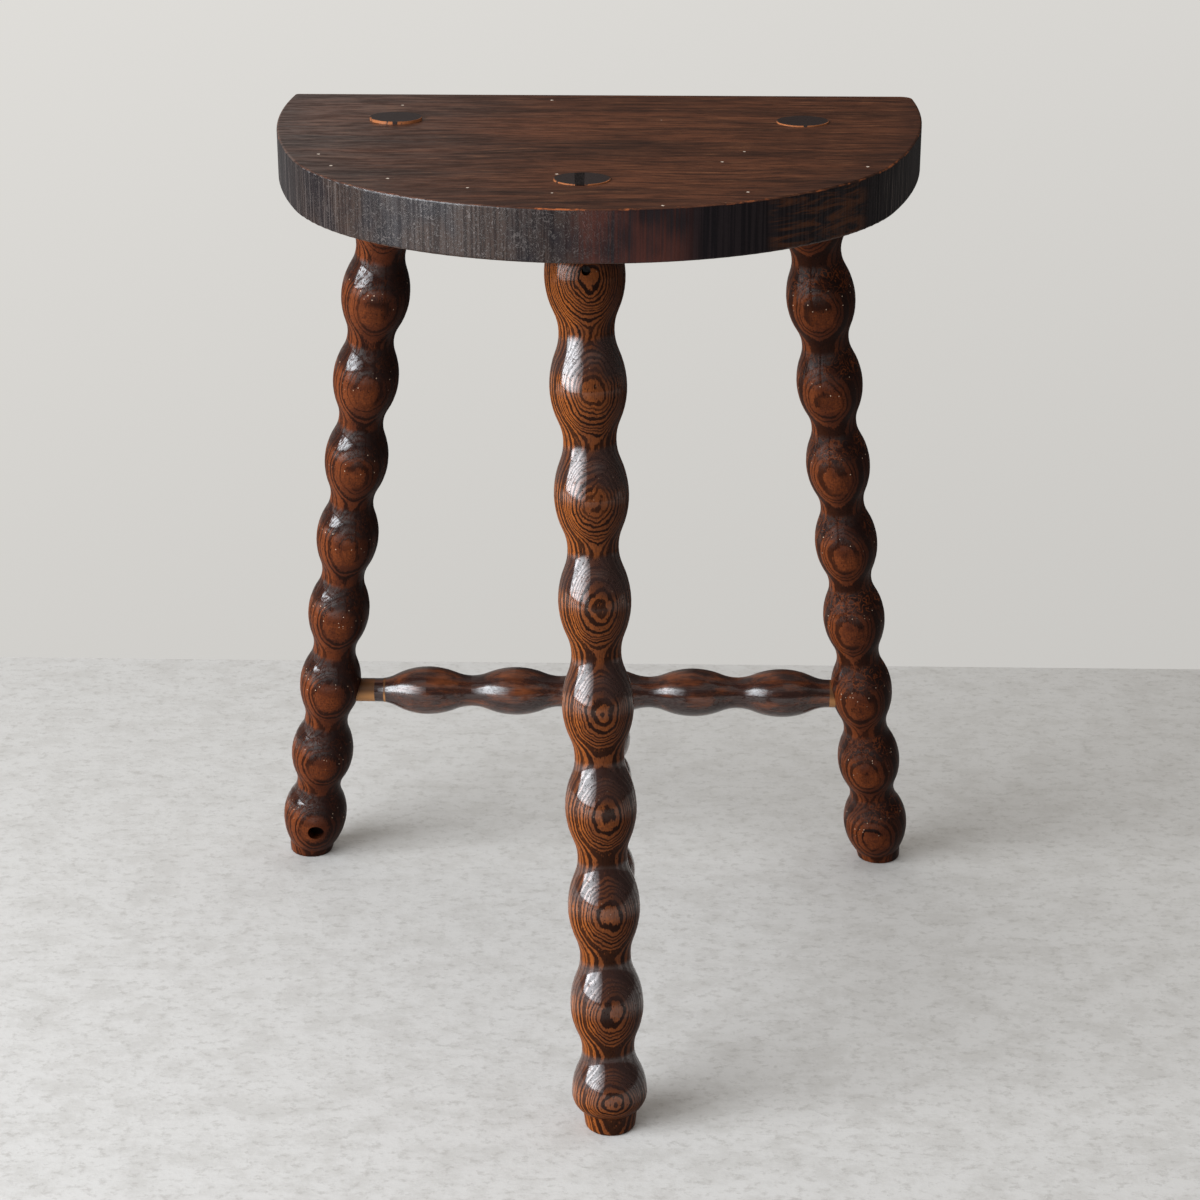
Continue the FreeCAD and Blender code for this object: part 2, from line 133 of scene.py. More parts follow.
def colour(name, description, *display):
    """A colour property. Its default is given in display values from 0 to 255 and made linear."""
    shares = [value / 255 for value in display]
    linear = [s / 12.92 if s <= 0.04045 else ((s + 0.055) / 1.055) ** 2.4 for s in shares]
    return FloatVectorProperty(name=name, description=description, subtype="COLOR", size=3,
                               min=0.0, max=1.0, default=linear)


def length(name, description, default):
    """A length property, in metres."""
    return FloatProperty(name=name, description=description, default=default, min=0.0001,
                         subtype="DISTANCE", unit="LENGTH")


def share(name, description, default):
    """A property from nothing to the whole."""
    return FloatProperty(name=name, description=description, default=default, min=0.0, max=1.0,
                         subtype="FACTOR")


class Number:
    """A number that runs through the shader: Python's operators on it add Math nodes."""

    def __init__(self, finish, socket):
        self.finish = finish
        self.socket = socket

    def math(self, operation, *others):
        """A Math node with this number first."""
        sockets = dict(enumerate((self, *others)))
        made = self.finish.node("ShaderNodeMath", {"operation": operation}, sockets)
        return Number(self.finish, made.outputs[0])

    def __add__(self, other):
        return self.math("ADD", other)

    __radd__ = __add__

    def __sub__(self, other):
        return self.math("SUBTRACT", other)

    def __rsub__(self, other):
        return self * -1.0 + other

    def __mul__(self, other):
        return self.math("MULTIPLY", other)

    __rmul__ = __mul__

    def __truediv__(self, other):
        return self.math("DIVIDE", other)

    def __pow__(self, other):
        return self.math("POWER", other)

    def __abs__(self):
        return self.math("ABSOLUTE")

    def swing(self, amount):
        """How far the number lies from one half, times the amount."""
        return (self - 0.5) * amount

    def step(self, low, high):
        """0 below low and 1 above high, with a smooth way between; low may be the larger."""
        made = self.finish.node("ShaderNodeMapRange", {"interpolation_type": "SMOOTHSTEP"},
                                {"Value": self, "From Min": low, "From Max": high})
        return Number(self.finish, made.outputs[0])

    def band(self, low, high, soft):
        """1 between low and high and 0 outside, over a soft edge."""
        return self.step(low - soft, low) * self.step(high + soft, high)


class Nodes:
    """A node tree that is put together from nothing."""

    def __init__(self, tree):
        self.tree = tree
        self.tree.nodes.clear()

    def node(self, kind, settings=None, sockets=None):
        """Adds a node, its settings first, then the values or links of its sockets."""
        made = self.tree.nodes.new(kind)
        for name, value in (settings or {}).items():
            setattr(made, name, value)
        for name, value in (sockets or {}).items():
            socket = made.inputs[name]
            source = value.socket if isinstance(value, Number) else value
            if isinstance(source, bpy.types.NodeSocket):
                self.tree.links.new(source, socket)
            elif socket.type == "RGBA":
                socket.default_value = (*source, 1.0)
            else:
                socket.default_value = source
        return made

    def split(self, place):
        """The place's three numbers."""
        made = self.node("ShaderNodeSeparateXYZ", None, {0: place})
        return [Number(self, socket) for socket in made.outputs]

    def blend(self, mask, first, second):
        """The first colour where the mask is 0 and the second where it is 1."""
        made = self.node("ShaderNodeMix", {"data_type": "RGBA", "clamp_factor": True},
                         {0: mask, 6: first, 7: second})
        return made.outputs[2]


class Finish(Nodes):
    """A finish that is put together node by node. Its places are in millimetres."""

    def __init__(self, name):
        self.material = bpy.data.materials.new(name)
        self.material.use_nodes = True
        super().__init__(self.material.node_tree)
        self.objects = self.node("ShaderNodeTexCoord").outputs["Object"]

    def place(self, start=(0.0, 0.0, 0.0), end=None):
        """The place from start, with Z along the line to end and X still to the right.

        Along a line that runs to the right itself, X is any direction square to it.
        """
        turn = (0.0, 0.0, 0.0)
        if end is not None:
            along = (Vector(end) - Vector(start)).normalized()
            side = along.orthogonal() if abs(along.x) > 0.9 else Vector((1.0, 0.0, 0.0))
            across = (side - along * side.dot(along)).normalized()
            turn = Matrix((across, along.cross(across), along)).transposed().to_euler()
        made = self.node("ShaderNodeMapping", {"vector_type": "TEXTURE"},
                         {"Vector": self.objects, "Location": [value * MM for value in start],
                          "Rotation": turn, "Scale": (MM, MM, MM)})
        return made.outputs[0]

    def stretched(self, place, per_mm, shift):
        """The place in pattern widths, with its own number of them per millimetre each way."""
        made = self.node("ShaderNodeMapping", {"vector_type": "POINT"},
                         {"Vector": place, "Location": shift, "Scale": per_mm})
        return made.outputs[0]

    def joined(self, x, y, z):
        """A place from three numbers."""
        return self.node("ShaderNodeCombineXYZ", None, {0: x, 1: y, 2: z}).outputs[0]

    def noise(self, place, per_mm, shift=(0.0, 0.0, 0.0), detail=2.0, rough=0.5, twist=0.0):
        """Soft noise about one half."""
        made = self.node("ShaderNodeTexNoise", {"noise_dimensions": "3D"},
                         {"Vector": self.stretched(place, per_mm, shift), "Scale": 1.0,
                          "Detail": detail, "Roughness": rough, "Distortion": twist})
        return Number(self, made.outputs[0])

    def noise_along(self, value, per_unit, shift):
        """Soft noise of one number, about one half."""
        made = self.node("ShaderNodeTexNoise", {"noise_dimensions": "1D"},
                         {"W": value * per_unit + shift, "Scale": 1.0, "Detail": 1.0})
        return Number(self, made.outputs[0])

    def chance(self, value, shift):
        """A random number for each whole number."""
        made = self.node("ShaderNodeTexWhiteNoise", {"noise_dimensions": "1D"},
                         {"W": value.math("FLOOR") + shift})
        return Number(self, made.outputs[0])

    def spots(self, place, per_mm, shift, sizes, draws):
        """Scattered round spots, one to a cell at most.

        sizes are the distances from a spot's middle, in cells, where it is 0 and where it is 1.
        draws does the same for a random number that each cell has, and so thins the spots.
        """
        made = self.node("ShaderNodeTexVoronoi", {"feature": "F1"},
                         {"Vector": self.stretched(place, per_mm, shift), "Scale": 1.0,
                          "Randomness": 1.0})
        far = Number(self, made.outputs["Distance"])
        drawn = self.node("ShaderNodeSeparateColor", None, {0: made.outputs["Color"]})
        return far.step(*sizes) * Number(self, drawn.outputs[0]).step(*draws)

    def varnished(self, shade, roughness, relief, depth, shine, coat=0.0, coat_roughness=0.1):
        """Ends the finish with a coat of varnish; relief is in shares of the depth."""
        bump = self.node("ShaderNodeBump", None,
                         {"Strength": 1.0, "Distance": depth * MM, "Height": relief})
        surface = self.node("ShaderNodeBsdfPrincipled", None,
                            {"Base Color": shade, "Roughness": roughness, "IOR": WOOD_IOR,
                             "Specular IOR Level": shine, "Coat Weight": coat,
                             "Coat IOR": VARNISH_IOR, "Coat Roughness": coat_roughness,
                             "Normal": bump.outputs[0]})
        end = self.node("ShaderNodeOutputMaterial", None, {"Surface": surface.outputs[0]})
        end.is_active_output = True
        return self.material


def dress(name, material):
    """Gives a CAD node its finish."""
    slots = frame["nodes"][name].data.materials
    slots.clear()
    slots.append(material)


class LegSettings(PropertyGroup):
    """Colours and ring sizes of the turned legs."""

    # Light wood and Back light wood are paler worn wood, and also painted light on the legs' left
    # sides, toward the window; Back light wood also colours the back legs' bare threads.
    light: colour("Light wood", "Worn and thinly stained wood of the front leg", 131, 70, 28)
    warm: colour("Warm wood", "Wood between the front leg's rings", 92, 49, 25)
    back_light: colour("Back light wood", "Worn wood of the back legs", 100, 50, 25)
    back_warm: colour("Back warm wood", "Wood between the back legs' rings", 66, 32, 19)
    line: colour("Ring line", "Porous early wood of each ring, filled with stain", 15, 8, 7)
    # Front stain and Stain darken the beads' upper shoulders with old stain, and their right sides,
    # away from the window, with old stain and painted shade. Stain also colours the fibres.
    front_stain_and_shade: colour("Front stain", "Old dark stain over the front leg's beads", 47, 32, 29)
    stain: colour("Stain", "Old dark stain over the back legs' beads and in the fibres", 30, 18, 16)
    speck: colour("Specks", "Small raised drops of old varnish", 206, 176, 150)
    end_grain: colour("End grain", "Tenon ends in the seat's top", 52, 43, 41)
    chip: colour("Chipped rim", "Bare wood at the tenons' rims", 156, 96, 60)
    # Hole is painted near-black: painted shade in the bored holes, and the glossy black in the
    # front leg's pit.
    hole: colour("Hole", "Inside of the bored holes", 7, 6, 8)
    ring: length("Outer ring width", "Width of the front leg's late growth rings", 0.00075)
    inner_ring: length("Inner ring width", "Width of the front leg's early growth rings", 0.0025)
    back_ring: length("Back outer ring width", "Width of the back legs' late rings", 0.0017)
    back_inner_ring: length("Back inner ring width", "Width of the back legs' early rings", 0.0030)
    shine: share("Shine", "How strongly the wood reflects under its varnish", 0.02)


# How each leg grew and wore. pith is where the middle of its growth rings is from its line, and
# tilt how far the pith drifts for each millimetre up. line_from is the share of a ring where its
# dark line begins, and stain_from the height in a bead where the stain does. The stains, the
# light at the necks and the specks are strengths; the stain on the right side, away from the
# window, is old stain and painted shade. Only the back legs have film, the strength of the
# crackled varnish, and bared, that of the bare threads in it.
BACK_LEG_LOOK = {"line_from": 0.54, "stain_from": 0.60, "right_stain_and_shade": 0.70, "patch_stain": 0.7,
                 "neck_light": 0.10, "speck": 0.8, "coat_roughness": 0.10}
LEG_LOOKS = {
    "front_leg": {
        "seed": 3.1, "pith": (-10.0, 59.0), "tilt": (0.004, 0.010), "line_from": 0.42,
        "stain_from": 0.54, "bead_stain": 0.72, "right_stain_and_shade": 0.48, "patch_stain": 1.5,
        "neck_light": -0.10, "speck": 0.15, "coat_roughness": 0.12},
    "back_left_leg": {
        **BACK_LEG_LOOK, "seed": 17.7, "pith": (-7.0, 55.0), "tilt": (-0.006, 0.014),
        "bead_stain": 0.90, "film": 1.0, "bared": 0.2},
    "back_right_leg": {
        **BACK_LEG_LOOK, "seed": 31.3, "pith": (9.0, 57.0), "tilt": (0.008, -0.010),
        "bead_stain": 0.70, "film": 0.5, "bared": 0.7},
}


class LegWood(Finish):
    """The wood of one leg: its places, its beads and its rings, for the marks to be laid on.

    x, y and z are the place from the leg's line, side runs from -1 at the left to 1 at the right,
    and bead is the height in a bead, from 0 at the neck below over 0.5 at the belly to 1.
    """

    def __init__(self, name, ring, inner_ring):
        super().__init__(name + "_wood")
        foot, top, first_belly = LEG_LINES[name]
        self.name = name
        self.look = LEG_LOOKS[name]
        self.seed = seed = self.look["seed"]
        self.along = self.place((*foot, 0.0), (*top, SEAT_TOP))
        self.x, self.y, self.z = self.split(self.along)
        self.around = (self.x * self.x + self.y * self.y) ** 0.5
        self.side = self.x / self.around
        lowest = self.z.step(*(first_belly - pitches * LEG_PITCH for pitches in FOOT_BEAD_FROM))
        from_belly = self.z - lowest * FOOT_BEAD_RISE - first_belly
        self.bead = (from_belly / LEG_PITCH + 0.5).math("FRACT")
        self.patch = self.noise(self.along, (0.06, 0.06, 0.04), (0.0, 0.0, seed), 3.0, 0.6)
        self.fleck = self.noise(self.along, (0.7, 0.7, 0.9), (seed, 4.0, 0.0))
        self.wave = self.noise(self.along, (0.24, 0.24, 0.20), (3.0, seed, 0.0), 2.0, 0.5, 1.4)
        self.rings = self.ring_phase(ring, inner_ring)

    def ring_phase(self, ring, inner_ring):
        """Growth rings as a number that grows by 1 with each ring outwards.

        The rings are cylinders about a pith line behind the leg, so that each bead's front shows
        ovals. The number is the distance to the pith over the ring width, plus slow noise; the
        outer 6 mm, in the leg's front, have the narrower late rings.
        """
        seed, (pith_x, pith_y), (tilt_x, tilt_y) = self.seed, self.look["pith"], self.look["tilt"]
        away_x = self.x - pith_x - (self.z - RING_MIDDLE) * tilt_x
        away_y = self.y - pith_y - (self.z - RING_MIDDLE) * tilt_y
        slow = self.noise(self.along, (0.035, 0.035, 0.022), (seed, 0.0, 0.0))
        shake = self.noise(self.along, (0.16, 0.16, 0.11), (0.0, seed, 0.0), 3.0)
        fray = self.noise(self.along, (1.5, 1.5, 0.4), (seed, 0.0, seed))
        reach = (away_x * away_x + away_y * away_y) ** 0.5 + slow.swing(4.0) + shake.swing(1.4)
        outer = (reach - (pith_y + LATE_RINGS)).math("MAXIMUM", 0.0)
        phase = reach * (MM / inner_ring) + outer * (MM / ring - MM / inner_ring)
        return phase + self.noise_along(reach, 0.30, seed).swing(1.6) + fray.swing(0.35) - 0.22

    def ring_lines(self):
        """A dark line in each ring, drawn stronger in some rings than in others."""
        part = self.rings.math("FRACT")
        draw = self.chance(self.rings, self.seed)
        start = self.look["line_from"]
        return part.step(start, start + 0.13) * part.step(1.0, 0.92) * (draw * 0.35 + 0.65)


def leg_finish(name, settings):
    """Stained ring-porous wood for one leg.

    Warm wood has dark ring lines and fibres, and old stain on each bead's upper shoulder. The
    right side, away from the window, is darkened with old stain and painted shade, and the left
    side, toward the window, is paler with painted light. Pores, pits and specks lie on it, under
    worn varnish. On the back legs the middle of each bead's front is a paler eye.
    """
    if name == "front_leg":
        ring, inner_ring = settings.ring, settings.inner_ring
        light, warm, stain_and_shade_colour = settings.light, settings.warm, settings.front_stain_and_shade
    else:
        ring, inner_ring = settings.back_ring, settings.back_inner_ring
        light, warm, stain_and_shade_colour = settings.back_light, settings.back_warm, settings.stain
    wood = LegWood(name, ring, inner_ring)
    look, seed, along = wood.look, wood.seed, wood.along
    bead, side, patch, fleck = wood.bead, wood.side, wood.patch, wood.fleck

    line = wood.ring_lines()
    shoulder = bead.step(look["stain_from"], look["stain_from"] + 0.16) * bead.step(1.0, 0.92)
    neck = abs(bead - 0.5).step(0.36, 0.48)
    # The stain mask: old stain on each bead's upper shoulder; on the right side, away from the
    # window, old stain with painted shade; then random patches
    stain = shoulder * look["bead_stain"] + side.step(0.05, 0.85) * look["right_stain_and_shade"]
    stain = stain + patch.swing(look["patch_stain"]) + fleck.swing(0.35)
    # Painted light: the left side, which faces the window, is blended toward the light wood;
    # patches, flecks, the necks and the back legs' eyes vary the paler worn wood.
    painted_light_and_wear = side.step(-0.15, -0.62) * 0.80 + patch.swing(1.7) + fleck.swing(1.0)
    painted_light_and_wear = painted_light_and_wear + neck * look["neck_light"] + 0.10
    if name != "front_leg":
        eye = abs(bead - 0.42).step(0.15, 0.07) * abs(side).step(0.50, 0.20)
        line = line * (1.0 - eye * 0.75)
        stain = stain - eye * 0.4
        painted_light_and_wear = painted_light_and_wear + eye * (fleck - 0.1)

    fibre = wood.noise(along, (2.2, 2.2, 0.10), (seed, seed, 0.0), 3.0, 0.6)
    pore = wood.noise(along, (2.8, 2.8, 0.26), (seed, 7.0, 1.0), 1.0).step(0.64, 0.72)
    pit = wood.spots(along, (0.62, 0.62, 0.45), (seed, 1.0, 2.0), (0.21, 0.10), (0.45, 0.5))
    speck = wood.spots(along, (0.42, 0.42, 0.36), (2.0, seed, 5.0), (0.15, 0.08), (0.55, 0.59))
    speck = speck * bead.band(0.52, 0.72, 0.05)
    shade = wood.blend(painted_light_and_wear, warm, light)
    shade = wood.blend(fibre.step(0.46, 0.72) * 0.45, shade, settings.stain)
    shade = wood.blend(line * 0.95, shade, settings.line)
    shade = wood.blend(stain.step(0.10, 1.05) * 0.92, shade, stain_and_shade_colour)
    shade = wood.blend(pore * 0.6, shade, settings.line)
    shade = wood.blend(pit * 0.9, shade, settings.line)
    shade = wood.blend(speck * look["speck"], shade, settings.speck)
    shade, tenon = leg_ends(wood, shade, settings)

    if name == "front_leg":
        film = front_film(wood, line)
    else:
        film, thread = back_film(wood)
        bared = thread * shoulder * patch.step(0.35, 0.60) * look["bared"]
        shade = wood.blend(bared, shade, settings.back_light)
    film = film * (1.0 - pore * 0.6) * (1.0 - pit) * (1.0 - tenon) + tenon * 0.15
    ripple = wood.noise(along, (0.22, 0.22, 0.18), (1.0, 2.0, seed), 1.0)
    relief = ripple * 0.25 + fleck * 0.10 - pore * 0.05 - pit * 0.25 - line * 0.04
    roughness = patch * 0.10 + tenon * 0.25 + 0.30
    return wood.varnished(shade, roughness, relief, WOOD_RELIEF, settings.shine, coat=film,
                          coat_roughness=look["coat_roughness"])


def leg_ends(wood, shade, settings):
    """Adds the tenon's end grain, its chipped rim and the leg's round hole, if it has one.

    Gives the colour, and a mask of the tenon's end.
    """
    world_x, _, height = wood.split(wood.place())
    tenon = height.step(SEAT_TOP - 2.0, SEAT_TOP)
    shade = wood.blend(tenon, shade, settings.end_grain)
    chipped = wood.noise(wood.along, (0.16, 0.16, 0.05), (wood.seed, 0.0, 9.0), 3.0, 0.7)
    front = (wood.y / wood.around).step(0.25, -0.35)
    rim = wood.around.step(*TENON_RIM) * front * (chipped + 0.05).step(0.42, 0.52)
    shade = wood.blend(rim * height.step(SEAT_TOP - 0.3, SEAT_TOP - 0.1), shade, settings.chip)
    if wood.name in LEG_HOLES:
        hole_x, hole_z, radius = LEG_HOLES[wood.name]
        over, up = world_x - hole_x, height - hole_z
        hole = (over * over + up * up).step(radius * radius, (radius - 0.3) ** 2)
        # The hole's inside is painted near-black: painted shade of its depth, and in the front
        # leg's pit its glossy black.
        shade = wood.blend(hole * wood.y.step(0.0, -4.0) * 0.92, shade, settings.hole)
    return shade, tenon


def front_film(wood, line):
    """The front leg's varnish: whole above each belly, cracked, and thin over the ring lines."""
    upper = wood.bead.step(0.42, 0.57) * wood.bead.step(1.0, 0.94)
    crack = abs(wood.wave - 0.5).step(0.022, 0.006)
    film = (upper * 0.95 + 0.06) * (1.0 - line * 0.50)
    film = film * (1.0 - crack * 0.7) * (wood.patch * 0.8 + 0.6)
    # The coat thins on the top bead as painted shade of the seat over the window's reflection
    begin, end = SEAT_SHADE_ON_VARNISH
    return film * (wood.z.step(end, begin) * 0.78 + 0.22)


def back_film(wood):
    """A back leg's varnish: crackled facets above each belly, ridged along the rings.

    Gives the film, and a mask of the threads of bare wood round its cracks.
    """
    from_crack = abs(wood.wave - 0.5)
    crack = from_crack.step(0.022, 0.006)
    thread = from_crack.step(0.045, 0.015)
    ridge = (wood.rings * 2.0).math("FRACT").band(0.25, 0.70, 0.12)
    facet = wood.wave.step(0.46, 0.53) * 0.35 + thread * 0.15 + ridge * 0.40 + 0.04
    high = wood.bead.step(0.56, 0.68) * wood.bead.step(1.0, 0.94) * wood.side.step(0.60, -0.25)
    return high * facet * (1.0 - crack) * wood.look["film"] + 0.02, thread


class STOOL_OT_legs(Operator):
    """Finishes the three bead-turned legs"""

    bl_idname = "stool.legs"
    bl_label = "Finish the legs"

    def execute(self, context):
        for name in LEG_LINES:
            dress(name, leg_finish(name, context.scene.stool_legs))
        return {"FINISHED"}


class SeatSettings(PropertyGroup):
    """Colours of the seat board."""

    dark: colour("Dark wood", "Dark bands of the grain", 52, 33, 25)
    warm: colour("Warm wood", "Chestnut bands of the grain", 113, 66, 43)
    fibre: colour("Dark fibres", "Fine dark lines of the grain", 32, 21, 18)
    pale_fibre: colour("Pale fibres", "Fine pale lines of the grain", 158, 104, 68)
    margin: colour("Margin", "Darker wood near the outline", 38, 27, 26)
    speck: colour("Specks", "Small pale specks on the top", 214, 196, 180)
    underside: colour("Underside", "Unvarnished wood below", 70, 50, 38)
    arris: colour("Worn arris", "Bare wood along the top edge", 160, 88, 48)
    # Edge bloom is greyed varnish, and also painted highlights and reflections on the edge's marks
    # and crazes
    edge: colour("Edge", "Old varnish round the edge", 27, 21, 23)
    edge_grey_and_glint: colour("Edge bloom", "Greyed varnish on the edge", 88, 79, 75)
    edge_brown: colour("Edge wood", "Wood under the thin varnish left of the middle", 66, 50, 40)
    edge_mark: colour("Edge marks", "Near-black upright marks", 13, 11, 14)
    edge_red: colour("Edge red", "Reddish stretch right of the middle", 78, 42, 34)
    edge_grain: colour("Edge grain", "Wood with level grain near the right end", 70, 40, 24)
    shine: share("Shine", "How strongly the wood reflects under its varnish", 0.08)


def rim_distance(x, y):
    """How far inside the seat's outline a place lies.

    It is a circle's radius less the distance from its middle: the front circle in front of where
    the circles meet, and a side circle behind. The straight back edge limits it.
    """
    across = abs(x - SEAT_MIDDLE[0])
    back = y - SEAT_MIDDLE[1]
    front = (across * across + back * back) ** 0.5 * -1.0 + SEAT_FRONT_RADIUS
    side_x = across - SEAT_SIDE_MIDDLE[0]
    side_y = back - SEAT_SIDE_MIDDLE[1]
    side = (side_x * side_x + side_y * side_y) ** 0.5 * -1.0 + SEAT_SIDE_RADIUS
    in_front = (across * SEAT_JOINT_SLOPE - back).math("GREATER_THAN", 0.0)
    rim = front * in_front + side * (1.0 - in_front)
    return rim.math("MINIMUM", SEAT_BACK - y)


def seat_edge(wood, place, x, settings):
    """The board's edge: near-black varnish with upright marks, in stretches along X.

    Greyed streaks at both ends, crazed and thin varnish left of the middle, a reddish stretch
    right of it, and level grain farther right. The grey of the streaks and crazes is greyed
    varnish and also painted highlights and reflections on their relief. Gives the colour, the
    film and the relief.
    """
    marks = wood.noise(place, (0.8, 0.8, 0.012), (2.0, 2.0, 2.0), 2.0, 0.6)
    wave = wood.noise(place, (0.30, 0.30, 0.27), (7.0, 3.0, 1.0), 2.0, 0.55, 1.6)
    grit = wood.noise(place, (0.5, 0.5, 0.5), (0.0, 3.0, 1.0), 3.0, 0.6)
    worn = wood.noise(place, (0.03, 0.03, 0.02), (5.0, 9.0, 1.0), 3.0, 0.6)
    flat = wood.noise(place, (0.035, 0.035, 0.22), (6.0, 5.0, 4.0), 4.0, 0.65, 1.0)
    craze = abs(wave - 0.5).step(0.045, 0.01)
    far_left = x.step(-92.0, -122.0)
    left = x.band(-112.0, -10.0, 40.0)
    reddish = x.band(10.0, 42.0, 18.0)
    level_grain = x.band(94.0, 132.0, 7.0)
    far_right = x.step(138.0, 152.0)

    shade = wood.blend(left * worn.step(0.40, 0.60) * 0.50, settings.edge, settings.edge_brown)
    dark_marks = marks.step(0.50, 0.58) * (1.0 - left * 0.3) * 0.70
    shade = wood.blend(dark_marks, shade, settings.edge_mark)
    # Pale marks at both ends: greyed varnish, and a painted reflection of the room on their relief
    pale_marks_and_glints = marks.step(0.42, 0.38) * (far_left * 0.55 + far_right * 0.80)
    shade = wood.blend(pale_marks_and_glints, shade, settings.edge_grey_and_glint)
    # Pale crazes left of the middle: greyed varnish, and painted highlights on their raised lines
    shade = wood.blend(craze * left * (grit + 0.1) * 0.60, shade, settings.edge_grey_and_glint)
    red = reddish * (worn + marks * 0.6).step(0.60, 0.95) * 0.60
    shade = wood.blend(red, shade, settings.edge_red)
    shade = wood.blend(level_grain * flat.step(0.40, 0.58) * 0.85, shade, settings.edge_grain)

    glossy_marks = marks.step(0.56, 0.42) * 0.12
    film = x.step(90.0, -60.0) * (0.09 + glossy_marks) + craze * left * 0.22
    film = film * (1.0 - far_left * 0.55) + x.step(20.0, 150.0) * glossy_marks
    film = film - left * worn.step(0.40, 0.62) * 0.06
    striae = marks * (far_left * 0.7 + far_right * 0.6 + 0.25)
    return shade, film, striae + left * craze * 0.5 + grit * 0.25


def seat_finish(settings):
    """Dark umber board with grain bands along X, small specks, a worn arris and a dark edge."""
    wood = Finish("seat_wood")
    place = wood.place()
    x, y, z = wood.split(place)
    rim = rim_distance(x, y)
    bend = wood.noise(place, (0.008, 0.012, 0.012), (5.0, 1.0, 0.0))
    bent = wood.joined(x, y + bend.swing(22.0), z + bend.swing(6.0))
    bands = wood.noise(bent, (0.008, 0.13, 0.10), (1.0, 3.0, 0.0), 5.0, 0.72)
    fine = wood.noise(bent, (0.045, 0.32, 0.30), (4.0, 0.0, 2.0), 5.0, 0.75)
    patch = wood.noise(place, (0.012, 0.016, 0.01), (9.0, 2.0, 1.0))
    speck = wood.spots(place, (0.10, 0.075, 0.0), (3.0, 8.0, 0.0), (0.10, 0.06), (0.80, 0.83))
    warmth = x.step(-190.0, 60.0) * 0.24 + patch.swing(1.2) + bands.swing(2.5)
    shade = wood.blend(warmth.step(-0.65, 1.25), settings.dark, settings.warm)
    shade = wood.blend(fine.step(0.50, 0.56) * 0.50, shade, settings.fibre)
    shade = wood.blend(fine.step(0.44, 0.34) * 0.30, shade, settings.pale_fibre)
    shade = wood.blend(rim.step(26.0, 2.0) * 0.30, shade, settings.margin)
    shade = wood.blend(speck, shade, settings.speck)

    edge, edge_film, edge_relief = seat_edge(wood, place, x, settings)
    wall = rim.step(1.0, 0.3) * z.step(SEAT_TOP - 0.3, SEAT_TOP - 0.9)
    shade = wood.blend(wall, shade, edge)
    wear = wood.noise(place, (0.07, 0.07, 0.3), (0.0, 4.0, 4.0), 4.0, 0.75)
    bare = x.step(-150.0, -165.0) * 0.06 + x.band(-12.0, 150.0, 14.0) * 0.065
    bare = bare - x.band(-140.0, -40.0, 10.0) * 0.10
    corner = rim.step(1.2, 0.5) * z.step(SEAT_TOP - 1.0, SEAT_TOP - 0.4)
    shade = wood.blend(corner * (wear + bare).step(0.58, 0.68) * 0.85, shade, settings.arris)
    under = z.step(SEAT_UNDERSIDE + 0.6, SEAT_UNDERSIDE + 0.2)
    shade = wood.blend(under * 0.6, shade, settings.underside)

    sheen = x.step(30.0, -190.0)
    film = (1.0 - wall) * (sheen * 0.78 + 0.07) * (fine.step(0.60, 0.40) * 0.7 + 0.3)
    film = film + wall * edge_film + corner * x.band(-130.0, -50.0, 30.0) * 0.6
    relief = bands * 0.10 - fine * 0.22 + wall * edge_relief
    roughness = patch * 0.10 + 0.50 - wall * 0.18 - corner * 0.12
    return wood.varnished(shade, roughness, relief, WOOD_RELIEF, settings.shine, coat=film,
                          coat_roughness=0.30)


class STOOL_OT_seat(Operator):
    """Finishes the half-round seat board"""

    bl_idname = "stool.seat"
    bl_label = "Finish the seat board"

    def execute(self, context):
        dress("seat_board", seat_finish(context.scene.stool_seat))
        return {"FINISHED"}


def wedge_finish(name, dark, settings):
    """A wedge's end grain, with thin dark lines along the kerf."""
    wood = Finish(name + "_wood")
    lines = wood.noise(wood.place(), (1.8, 0.25, 0.4), (1.0, 1.0, 1.0))
    shade = wood.blend(lines.step(0.35, 0.7) * 0.5, dark, settings.end_grain)
    return wood.varnished(shade, roughness=0.6, relief=lines, depth=0.2, shine=settings.shine,
                          coat=0.15, coat_roughness=0.12)


class STOOL_OT_wedges(Operator):
    """Finishes the three wedges in the tenons, with the legs' colours"""

    bl_idname = "stool.wedges"
    bl_label = "Finish the wedges"

    def execute(self, context):
        settings = context.scene.stool_legs
        dress("front_wedge", wedge_finish("front_wedge", settings.line, settings))
        for name in ("back_left_wedge", "back_right_wedge"):
            dress(name, wedge_finish(name, settings.end_grain, settings))
        return {"FINISHED"}


class StretcherSettings(PropertyGroup):
    """Colours of the turned stretchers."""

    dark: colour("Dark wood", "Stained wood", 42, 25, 21)
    warm: colour("Warm wood", "Worn patches", 104, 54, 28)
    fibre: colour("Fibres", "Fine dark lines along the rail", 26, 15, 13)
    bare: colour("Bare wood", "Tan wood of the back stretcher's bare ends", 150, 106, 66)
    shine: share("Shine", "How strongly the wood reflects under its varnish", 0.10)


